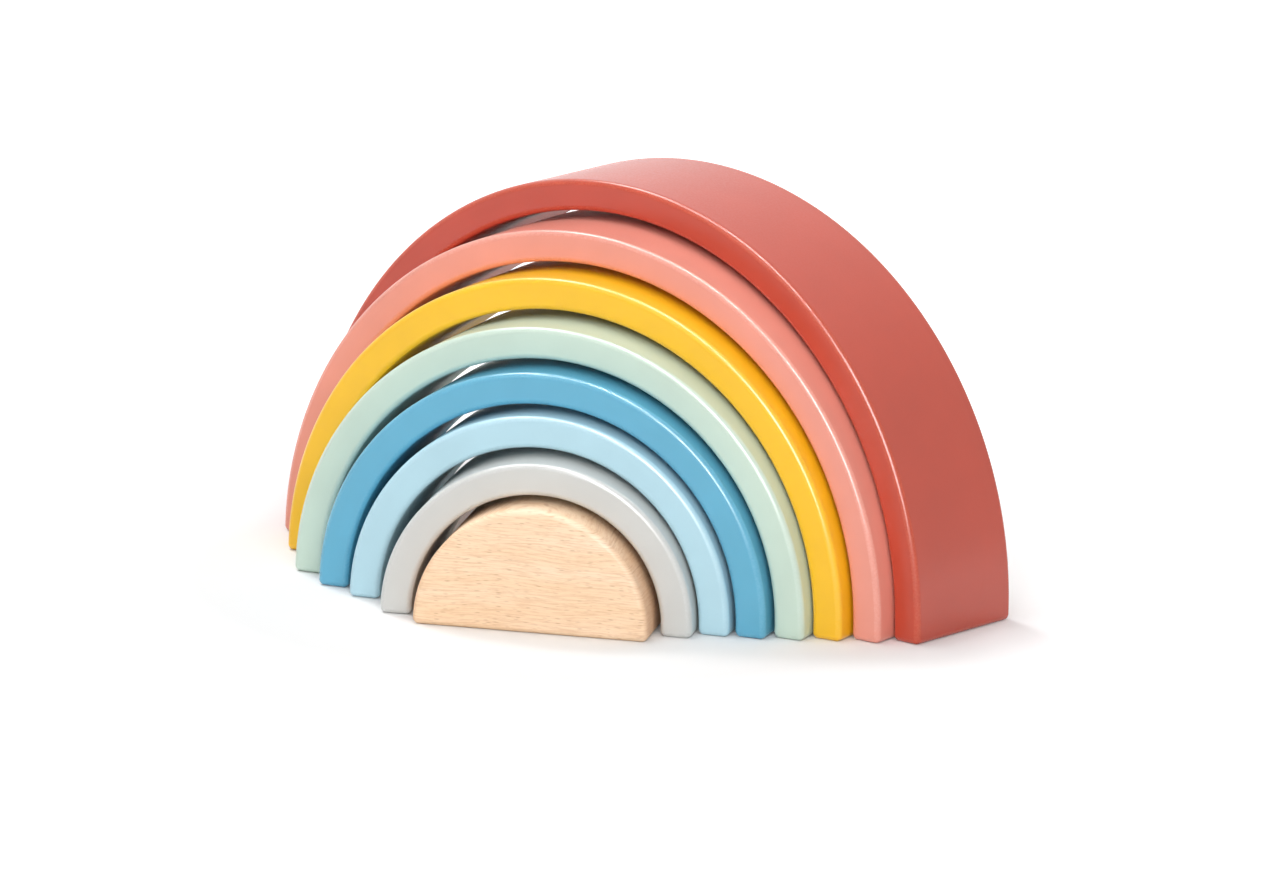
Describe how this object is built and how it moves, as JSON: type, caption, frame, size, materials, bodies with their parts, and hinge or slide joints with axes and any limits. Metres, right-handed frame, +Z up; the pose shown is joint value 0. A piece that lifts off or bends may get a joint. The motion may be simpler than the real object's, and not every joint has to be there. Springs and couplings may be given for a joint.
{
  "type": "rainbow stacking toy",
  "caption": "Rainbow stacking toy: painted wooden half-ring arches nested around a plain beech half disc, fanned out and drawn forward one from the next.",
  "frame": {"origin": "middle of the footprint of the whole fanned set, on the table", "axes": "+X along the largest arch's width, to the right seen from the front; +Y towards the back; +Z up"},
  "size_m": [0.26, 0.1464, 0.132],
  "materials": {
    "red_arch": "satin paint on sanded beech",
    "pink_arch": "satin paint on sanded beech",
    "yellow_arch": "satin paint on sanded beech",
    "mint_arch": "satin paint on sanded beech",
    "blue_arch": "satin paint on sanded beech",
    "light_blue_arch": "satin paint on sanded beech",
    "grey_arch": "satin paint on sanded beech",
    "core": "bare wood, finely sanded"
  },
  "bodies": {
    "red_arch": {"red_arch": "red_arch"},
    "pink_arch": {"pink_arch": "pink_arch"},
    "yellow_arch": {"yellow_arch": "yellow_arch"},
    "mint_arch": {"mint_arch": "mint_arch"},
    "blue_arch": {"blue_arch": "blue_arch"},
    "light_blue_arch": {"light_blue_arch": "light_blue_arch"},
    "grey_arch": {"grey_arch": "grey_arch"},
    "core": {"core": "core"}
  },
  "joints": [
    {"name": "pink_arch_draw", "type": "slide", "parent": "red_arch", "child": "pink_arch", "axis": [0.1047, -0.9945, 0], "range_m": [0, 0.05]},
    {"name": "yellow_arch_draw", "type": "slide", "parent": "pink_arch", "child": "yellow_arch", "axis": [0.175, -0.9846, 0], "range_m": [-0.0085, 0.05]},
    {"name": "mint_arch_draw", "type": "slide", "parent": "yellow_arch", "child": "mint_arch", "axis": [0.2672, -0.9637, 0], "range_m": [-0.001, 0.05]},
    {"name": "blue_arch_draw", "type": "slide", "parent": "mint_arch", "child": "blue_arch", "axis": [0.3195, -0.9476, 0], "range_m": [-0.009, 0.055]},
    {"name": "light_blue_arch_draw", "type": "slide", "parent": "blue_arch", "child": "light_blue_arch", "axis": [0.3692, -0.9294, 0], "range_m": [-0.006, 0.055]},
    {"name": "grey_arch_draw", "type": "slide", "parent": "light_blue_arch", "child": "grey_arch", "axis": [0.4514, -0.8923, 0], "range_m": [-0.0025, 0.05]},
    {"name": "core_draw", "type": "slide", "parent": "grey_arch", "child": "core", "axis": [0.4603, -0.8878, 0], "range_m": [-0.01, 0.05]}
  ]
}
